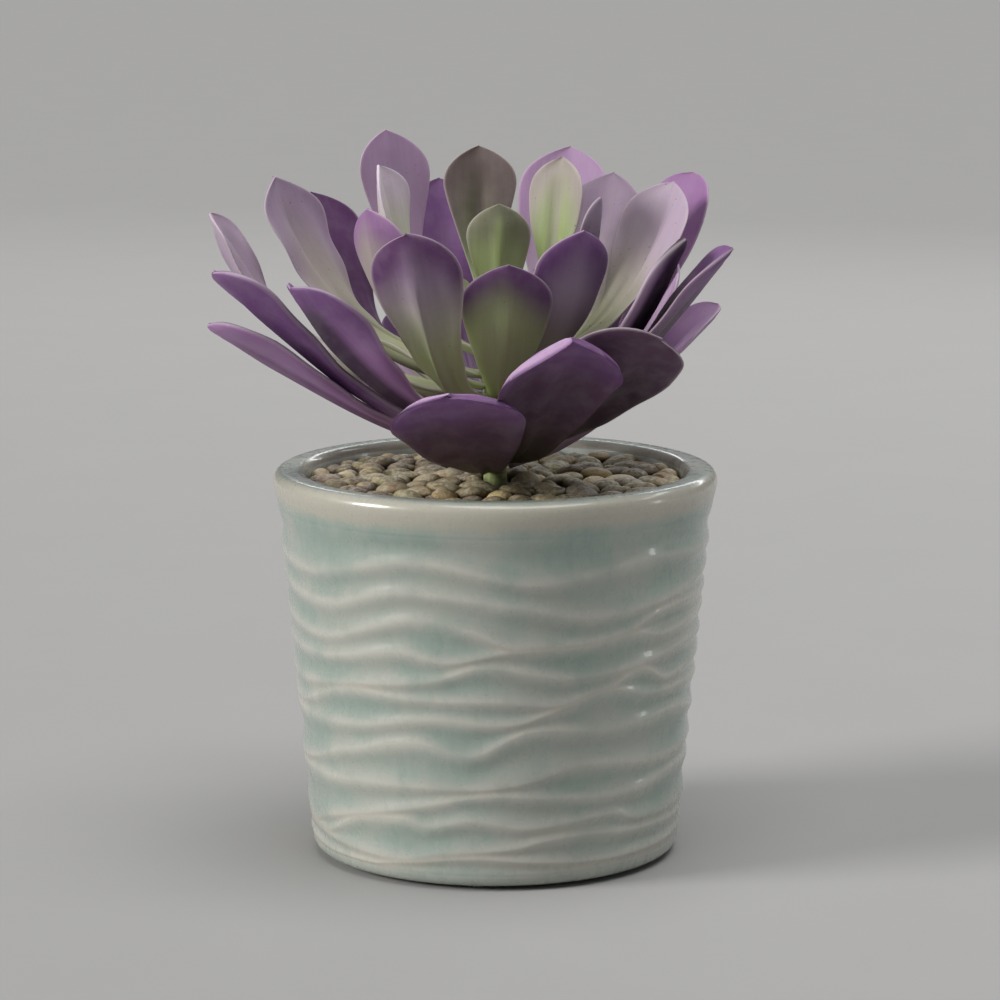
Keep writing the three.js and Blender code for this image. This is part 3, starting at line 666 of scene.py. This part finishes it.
def build_pads():
    """Clear domed pads, flat on top and rounded on the side that meets the table."""
    material = pad_material()
    sides = 32
    angles = np.arange(sides) * 360 / sides
    profile = [(PAD_RADIUS * 0.5, PAD_HEIGHT), (PAD_RADIUS, PAD_HEIGHT), (PAD_RADIUS, PAD_HEIGHT * 0.62),
               (PAD_RADIUS - 0.12, PAD_HEIGHT * 0.3), (PAD_RADIUS - 0.45, PAD_HEIGHT * 0.08),
               (PAD_RADIUS - 1, 0), (PAD_RADIUS * 0.4, 0)]
    for number, azimuth in enumerate(PAD_AZIMUTHS, 1):
        centre = polar(PAD_CIRCLE, azimuth, 0)
        rings = np.array([polar(radius, angles, height) + centre for radius, height in profile[::-1]])
        points, faces = loft(rings, centre, centre + (0, 0, PAD_HEIGHT))
        add_piece(f"clear_pad_{number}", points, faces, material, [f"foot_pad_{number}"])


# ---- pebbles --------------------------------------------------------------------------------------
PEBBLE_COLOURS = [
    (186, 172, 132), (198, 184, 146), (172, 156, 122), (180, 164, 144), (166, 152, 116),
    (204, 190, 152), (190, 178, 146), (168, 160, 114), (196, 176, 126), (156, 140, 118),
]
AMBER = (182, 144, 84)
AMBER_SHARE = 0.02
FILL_COUNT = 230                  # small pebbles between the others
FILL_SPREAD = 50
WALL_COUNT = 34                   # and those along the pot's wall
MOUND = (1.2, 16)                 # rise of the layer at the stem, and its radius
FINE_FRONT = 15                   # large pebbles with a y below this get the finer mesh


def sphere(level):
    """Unit directions and triangles of a rounded ball."""
    ball = bpy.data.meshes.new("ball")
    grid = bmesh.new()
    bmesh.ops.create_icosphere(grid, subdivisions=level, radius=1)
    grid.to_mesh(ball)
    grid.free()
    points = np.array([vertex.co[:] for vertex in ball.vertices])
    faces = [tuple(face.vertices) for face in ball.polygons]
    bpy.data.meshes.remove(ball)
    return points, faces


def pebble(unit, halves, tilt, heading, place, rng):
    """A worn stone: a flattened ball with a few broad dents."""
    shape = np.sign(unit) * np.abs(unit) ** rng.uniform(0.86, 1.0)
    shape /= np.linalg.norm(shape, axis=1)[:, None]
    for _ in range(5):
        direction = rng.normal(size=3)
        direction /= np.linalg.norm(direction)
        shape *= 1 + rng.uniform(-0.2, 0.1) * np.exp(3 * (unit @ direction - 1))[:, None]
    turn = (Matrix.Rotation(heading, 3, "Z") @ Matrix.Rotation(tilt[1], 3, "Y")
            @ Matrix.Rotation(tilt[0], 3, "X"))
    return (shape * halves) @ np.array(turn).T + place


def inner_radius(height):
    """Radius of the pot's inner wall at a height."""
    share = (height - INNER_FOOT[1]) / (INNER_TOP[1] - INNER_FOOT[1])
    return mix(INNER_FOOT[0], INNER_TOP[0], share)


def build_pebbles():
    """Single pebbles where the solid's stand, smaller ones between them and a row along the wall."""
    draw = seeded_draws(PEBBLE_SEED)
    rng = np.random.default_rng(11)
    fine, coarse = sphere(3), sphere(2)
    points, faces, tints = [], [], []

    def put(halves, tilt, heading, place, ball):
        unit, triangles = ball
        body = pebble(unit, halves, tilt, heading, place, rng)
        start = sum(len(part) for part in points)
        points.append(body)
        faces.extend(tuple(start + corner for corner in face) for face in triangles)
        colour = AMBER if rng.random() < AMBER_SHARE else PEBBLE_COLOURS[rng.integers(len(PEBBLE_COLOURS))]
        shade = linear(colour) * rng.uniform(0.65, 1.4)
        tints.append(np.tile(shade, (len(body), 1)))

    def mound(radius):
        return MOUND[0] * math.exp(-(radius / MOUND[1]) ** 2)

    for index in range(PEBBLE_COUNT):
        radius = PEBBLE_SPREAD * math.sqrt((index + 0.5) / PEBBLE_COUNT)
        azimuth = index * GOLDEN_TURN + 6 * next(draw)
        long = mix(*PEBBLE_LONG, next(draw))
        wide = long * mix(*PEBBLE_WIDE, next(draw))
        high = mix(*PEBBLE_HIGH, next(draw))
        heading = math.pi * next(draw)
        tilt = mix(*PEBBLE_TILT, next(draw))
        lift = mix(*PEBBLE_LIFT, next(draw))
        if radius < STEM_RADIUS + long + WALL_GAP:
            continue
        reach = min(radius, inner_radius(BED_TOP) - long - 2 * CLEARANCE)
        place = polar(reach, azimuth, BED_TOP + lift + 1.1 + mound(reach))
        grown = rng.uniform(0.95, 1.32)
        put((long * grown, wide * grown, 0.84 * high), (tilt, rng.uniform(-0.3, 0.3)), heading, place,
            fine if place[1] < FINE_FRONT else coarse)
    for index in range(FILL_COUNT):
        radius = FILL_SPREAD * math.sqrt((index + 0.5) / FILL_COUNT)
        azimuth = index * GOLDEN_TURN + rng.uniform(-20, 20)
        long, high = rng.uniform(2.2, 3.4), rng.uniform(1.5, 2.1)
        reach = min(radius, inner_radius(BED_TOP) - long - CLEARANCE)
        if reach < STEM_RADIUS + long + CLEARANCE:
            continue
        place = polar(reach, azimuth, BED_TOP + rng.uniform(0.6, 3.2) + mound(reach))
        halves = (long, long * rng.uniform(0.7, 0.9), high)
        put(halves, (rng.uniform(-0.4, 0.4), rng.uniform(-0.4, 0.4)), rng.uniform(0, math.pi), place, coarse)
    for index in range(WALL_COUNT):
        azimuth = (index + rng.uniform(-0.25, 0.25)) * 360 / WALL_COUNT
        long, wide = rng.uniform(3, 4), rng.uniform(2.3, 3)
        place = polar(inner_radius(BED_TOP) - wide - CLEARANCE, azimuth, BED_TOP + rng.uniform(2, 3.6))
        heading = math.radians(azimuth + 90) + rng.uniform(-0.3, 0.3)
        put((long, wide, rng.uniform(1.7, 2.2)), (rng.uniform(-0.2, 0.2), 0), heading, place, coarse)
    add_piece("pebble_layer", np.vstack(points), faces, pebble_material(), ["pebbles"],
              colours={"tint": np.vstack(tints)})


# ---- stem -----------------------------------------------------------------------------------------
STEM_SIDES, STEM_ROWS = 40, 130
SCARS = [97.5, 99.6, 102.2, 104.4]    # heights where older leaves came off


def build_stem():
    """A short green stem with low rings at its scars."""
    sides, rows = STEM_SIDES, STEM_ROWS
    angles = np.arange(sides) * 360 / sides
    rings, marks = [], []
    for height in np.linspace(STEM_FOOT, STEM_TOP - 0.4, rows):
        radius = mix(STEM_RADIUS, STEM_NECK[0], smoothstep(height, 88, STEM_NECK[1]))
        radius *= math.sqrt(max(0.02, 1 - smoothstep(height, STEM_NECK[1], STEM_TOP) ** 1.5))
        mark = np.zeros(sides)
        for number, scar in enumerate(SCARS):
            wave = scar + 0.35 * np.sin(np.radians(angles * 2 + number * 130))
            mark = np.maximum(mark, np.exp(-((height - wave) / 0.28) ** 2))
        swell = 0.06 * np.sin(np.radians(angles * 3 + height * 9)) + 0.1 * mark
        rings.append(polar(radius - 0.12 + swell * (height > 92), angles, height))
        marks.append(mark * 0.6)
    points, faces = loft(np.array(rings), (0, 0, STEM_FOOT), (0, 0, STEM_TOP))
    add_piece("green_stem", points, faces, stem_material(), ["stem"],
              {"scar": np.append(np.array(marks).ravel(), [0, 0])})


# ---- leaves ---------------------------------------------------------------------------------------
def leaf_half_width(distance, number, width, blade, length):
    """Half the leaf's width at a distance from its tip."""
    from_root = smoothstep(length - distance, 0, ROOT_LENGTH)
    stalk = OWN_STALK.get(number, STALK_SHARE) * width / 2 * mix(ROOT_SHARE, 1, from_root)
    share = distance / blade
    if share >= 1:
        return float(stalk)
    if share > ROUND_END:
        down = (share - ROUND_END) / (1 - ROUND_END)
        eased = mix(1 - down, (1 + math.cos(math.pi * down)) / 2, 0.5)
        return float(mix(stalk, width / 2, eased))
    point = 0.02 * ROUND_END * blade
    across = max(0, (distance - point) / (ROUND_END * blade - point))
    rounded = width / 2 * (1 - (1 - across) ** 2.5) ** (0.5 if number in BLUNT_TIPS else 0.85)
    return max(0.4 * min(distance, 1), rounded)


def leaf_thickness(distance, blade, length):
    """The leaf's thickness in its middle at a distance from its tip."""
    from_root = smoothstep(length - distance, 0, ROOT_LENGTH)
    stout = from_root * smoothstep(distance, 0.5 * blade, blade)
    return float(mix(LEAF_THICKNESS, STALK_THICKNESS, stout)) * min(1, 0.3 + distance / 8)


def leaf_midline(azimuth, reach, tip_height, seat, stalk_rise, tip_rise):
    """Points along the leaf's middle, from its seat to its tip, and the length up to each."""
    start = STEM_RADIUS + CLEARANCE + LEAF_THICKNESS / 2 * math.sin(math.radians(stalk_rise))
    chord = math.hypot(reach - start, tip_height - seat)
    arm = BEND_SHARE * chord

    def off(radius, height, rise, way):
        return (radius + way * math.cos(math.radians(rise)), height + way * math.sin(math.radians(rise)))

    corners = np.array([(start, seat), off(start, seat, stalk_rise, arm),
                        off(reach, tip_height, tip_rise, -arm), (reach, tip_height)])
    t = np.linspace(0, 1, 500)[:, None]
    line = (corners[0] * (1 - t) ** 3 + 3 * corners[1] * t * (1 - t) ** 2
            + 3 * corners[2] * t * t * (1 - t) + corners[3] * t ** 3)
    line = polar(line[:, 0], azimuth, line[:, 1])
    lengths = np.append(0, np.cumsum(np.linalg.norm(np.diff(line, axis=0), axis=1)))
    return line, lengths


def point_at(line, lengths, at):
    """The point of a line at a length."""
    return np.array([np.interp(at, lengths, line[:, axis]) for axis in range(3)])


SECTION_SIDE = 17                 # points from margin to margin
LEAF_ROWS = 64
TIP_ROWS = 18                     # of them, those over the round end
SQUARE, BEVEL_SQUARE = 7, 24      # how squarely the faces meet the margin


def leaf_section(half, thick, edge, square, channel, fold, keel, groove):
    """The leaf's cross-section as (across, up) points round it, and each point's place on the face."""
    margin = channel * half
    edge = min(edge, thick) / 2
    spread = np.cos(np.linspace(0, math.pi, SECTION_SIDE))
    away = np.abs(spread)         # 0 in the middle, 1 at the margins
    plump = np.sqrt(np.clip(1 - away ** square, 0, 1))
    top = mix(HOLLOW * thick, edge, away ** 1.4)
    lobe = groove * (np.exp(-((away - 0.42) / 0.24) ** 2) - 0.9 * np.exp(-(away / 0.1) ** 2))
    under = mix(-0.5 * thick, -edge, away ** 2.2)
    ridge = -keel * (np.exp(-(away / 0.13) ** 2) - 0.55 * np.exp(-((away - 0.4) / 0.26) ** 2))
    upper = margin * away ** fold + (top + lobe) * plump
    lower = margin * away ** fold + (under + ridge) * plump
    across = np.append(spread, spread[-2:0:-1]) * half
    up = np.append(upper, lower[-2:0:-1])
    share = np.append(spread, spread[-2:0:-1])
    return across, up, share


def leaf_tint(number, place, upper, distance, from_tip, phase):
    """Colours round one section of a leaf, from each point's place across and its face, with painted
    highlights and painted shade on some leaves.
    """
    tip_colour, blade_colour, foot_colour, tip_end, foot_start = LEAVES[number - 1][8:]
    wander = 0.04 * np.sin(place * 3 + phase) - 0.12 * np.abs(place) ** 2
    purple = 1 - smoothstep(from_tip + wander, tip_end * 0.35, tip_end + 0.22)
    foot = smoothstep(from_tip, foot_start - 0.28, foot_start + 0.16)
    tint = mix(linear(LEAF_COLOURS[blade_colour]), linear(LEAF_COLOURS[tip_colour]), purple[:, None])
    tint = mix(tint, linear(LEAF_COLOURS[foot_colour]), foot)
    # Stripes, some of them painted highlights and painted shade.
    if number in STRIPES_AND_PAINTED_LIGHT:
        stripe, start, end, strength = STRIPES_AND_PAINTED_LIGHT[number]
        amount = smoothstep(place, start - STRIPE_BLUR, start + STRIPE_BLUR)
        amount *= 1 - smoothstep(place, end - STRIPE_BLUR, end + STRIPE_BLUR)
        amount *= strength * float(smoothstep(from_tip, 0.03, 0.16))
        tint = mix(tint, linear(LEAF_COLOURS[stripe]), amount[:, None])
    # Painted highlight: on bevelled leaves the upper face's border is painted lilac on its lit side.
    if number in BEVELS:
        lit_to = BEVELS[number][1]
        border = np.maximum(smoothstep(np.abs(place), 0.6, 0.85), 1 - smoothstep(distance, 4, 12))
        border = border * upper * (1 - smoothstep(place, lit_to - 0.3, lit_to))
        tint = mix(tint, linear(LEAF_COLOURS["lilac"]), border[:, None])
    return tint


def build_leaf(number, row, material):
    """One leaf as a loft of sections along its middle, from the root to the tip."""
    azimuth, reach, tip_height, seat, width, stalk_rise, tip_rise, roll = row[:8]
    rng = np.random.default_rng(100 + number)
    line, lengths = leaf_midline(azimuth, reach, tip_height, seat, stalk_rise, tip_rise)
    length = lengths[-1]
    blade = min(BLADE_PER_WIDTH * width, length - 6)
    size = min(1, width / 22) * OWN_RELIEF.get(number, 1)
    edge, fold = OWN_EDGE.get(number, LEAF_EDGE), OWN_FOLD.get(number, FOLD)
    channel = OWN_CHANNEL.get(number, CHANNEL)
    across_way = polar(1, azimuth + 90, 0)
    near_tip = (np.linspace(0, 1, TIP_ROWS) ** 1.7) * ROUND_END * blade
    rest = np.linspace(ROUND_END * blade, length, LEAF_ROWS - TIP_ROWS + 1)[1:]
    distances = np.append(near_tip[1:], rest)[::-1]
    phase = rng.uniform(0, 6.28, 3)
    bevel, lit_to = BEVELS.get(number, (0, 0))
    square = BEVEL_SQUARE if bevel else SQUARE
    upper = np.zeros(2 * SECTION_SIDE - 2, bool)
    upper[1:SECTION_SIDE - 1] = True
    rings, tints, floats = [], [], {"margin": [], "along": [], "across": []}
    for distance in distances:
        share = 1 - distance / length
        at = share * length
        centre = point_at(line, lengths, at)
        ahead = point_at(line, lengths, min(at + 0.3, length))
        behind = point_at(line, lengths, max(at - 0.3, 0))
        forward = (ahead - behind) / np.linalg.norm(ahead - behind)
        turn = math.radians(roll) * float(smoothstep(share, 0.1, 0.7))
        side = np.array(Matrix.Rotation(turn, 3, Vector(forward)) @ Vector(across_way))
        up = np.cross(forward, side)
        half = leaf_half_width(distance, number, width, blade, length)
        half *= 1 + 0.018 * math.sin(distance * 0.22 + phase[0]) * min(1, distance / 6)
        thick = leaf_thickness(distance, blade, length)
        if number in OWN_EDGE:
            thick = max(thick, edge * min(1, 0.45 + distance / 4))
        fade = float(smoothstep(distance, 0.04 * blade, 0.36 * blade)) * size
        body = float(smoothstep(length - distance, 4, 14))
        across, lift, place = leaf_section(half, thick, edge, square, channel, fold,
                                           0.8 * fade * body, 0.62 * fade * body)
        lift = lift + 0.25 * size * np.abs(place) ** 3 * np.sin(distance * 0.3 + phase[1] + 1.5 * place)
        back = np.zeros(len(place))
        if bevel:
            narrowed = across * (1 - bevel / max(half, 2 * bevel))
            across = np.where(upper & (place < lit_to + 0.1), narrowed, across)
            lift = lift - 0.36 * edge * (np.abs(place) == 1)
            back = bevel * upper * (1 - float(smoothstep(distance, 3, 12)))
        rings.append(centre + across[:, None] * side + lift[:, None] * up - back[:, None] * forward)
        tints.append(leaf_tint(number, place, upper, distance, distance / length, phase[2]))
        # Pale margin line: partly the leaf's own pale rim, partly painted rim light.
        floats["margin"].append(smoothstep(np.abs(place), 0.96, 1.0) * (not bevel))
        floats["along"].append(np.full(len(place), distance))
        floats["across"].append(across)
    rings = np.array(rings)
    points, faces = loft(rings, line[0], line[-1])
    tints = np.vstack([np.vstack(tints), tints[0][:1], tints[-1][:1]])
    floats = {key: np.append(np.concatenate(values), [0, 0]) for key, values in floats.items()}
    floats["number"] = np.full(len(points), number * 3.7)
    name = f"{number:02d}"
    add_piece("fleshy_leaf_" + name, points, faces, material, ["leaf_" + name], floats,
              {"tint": tints})


# ---- the object -----------------------------------------------------------------------------------
build_pot()
build_pads()
build_pebbles()
build_stem()
skin = leaf_material()
for number, row in enumerate(LEAVES, 1):
    build_leaf(number, row, skin)
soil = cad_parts["soil"]
soil.data.materials.clear()
soil.data.materials.append(soil_material())


# ---- floor, light and camera ------------------------------------------------------------------------
FLOOR_REACH = 14                  # metres from the middle
FLOOR_LINES = 29


def build_floor():
    """A pale floor, flat and wide enough to fill the view."""
    edge = np.linspace(-FLOOR_REACH, FLOOR_REACH, FLOOR_LINES)
    points = [(x, y, 0) for y in edge for x in edge]
    mesh = bpy.data.meshes.new("floor")
    mesh.from_pydata(points, [], grid_faces(len(edge), len(edge), closed=False))
    mesh.materials.append(floor_material())
    floor = bpy.data.objects.new("floor", mesh)
    bpy.context.scene.collection.objects.link(floor)


def area_light(name, place, aim, size, power):
    """A lit rectangle, sized in metres across and up."""
    lamp = bpy.data.lights.new(name, "AREA")
    lamp.shape = "RECTANGLE"
    lamp.size, lamp.size_y = size
    lamp.energy = power
    light = bpy.data.objects.new(name, lamp)
    light.location = place
    light.rotation_euler = (Vector(aim) - Vector(place)).to_track_quat("-Z", "Y").to_euler()
    bpy.context.scene.collection.objects.link(light)


def far_light(name, towards, spread, strength, colour=(1, 1, 1)):
    """Even light from one direction, as soft as its spread in degrees."""
    lamp = bpy.data.lights.new(name, "SUN")
    lamp.angle = math.radians(spread)
    lamp.energy = strength
    lamp.color = colour
    light = bpy.data.objects.new(name, lamp)
    light.rotation_euler = Vector(towards).to_track_quat("Z", "Y").to_euler()
    bpy.context.scene.collection.objects.link(light)


def build_light():
    """Soft light from the left and from overhead, narrow lights at the right and back, a dim sky."""
    world = bpy.data.worlds.new("studio")
    world.use_nodes = True
    world.node_tree.nodes["Background"].inputs["Color"].default_value = (0.92, 0.96, 1, 1)
    world.node_tree.nodes["Background"].inputs["Strength"].default_value = 0.12
    bpy.context.scene.world = world
    far_light("key", (-0.86, -0.3, 0.4), 22, 2.28, (1, 0.99, 0.97))
    far_light("overhead", (0.12, -0.12, 1), 45, 1.78)
    area_light("side", (1.3, 0, 0.26), (0, 0, 0.08), (0.1, 0.35), 0.6)
    area_light("glint", (0.85, 0.52, 1), (0, 0, 0.1), (1, 0.09), 1.3)
    area_light("back", (0.35, 1.4, 0.66), (0, 0, 0.12), (1.4, 0.07), 2.2)


CAMERA_PLACE = (0.0013, -1.0676, 0.2808)
CAMERA_FALL = 9.82                # degrees that the view looks down


def build_camera():
    """The photograph's view, from just over a metre away."""
    lens = bpy.data.cameras.new("camera")
    lens.sensor_width = 36
    lens.lens = 144
    camera = bpy.data.objects.new("camera", lens)
    camera.location = CAMERA_PLACE
    camera.rotation_euler = (math.radians(90 - CAMERA_FALL), 0, 0)
    bpy.context.scene.collection.objects.link(camera)
    bpy.context.scene.camera = camera


build_floor()
build_light()
build_camera()
bpy.context.scene.view_settings.view_transform = "Standard"
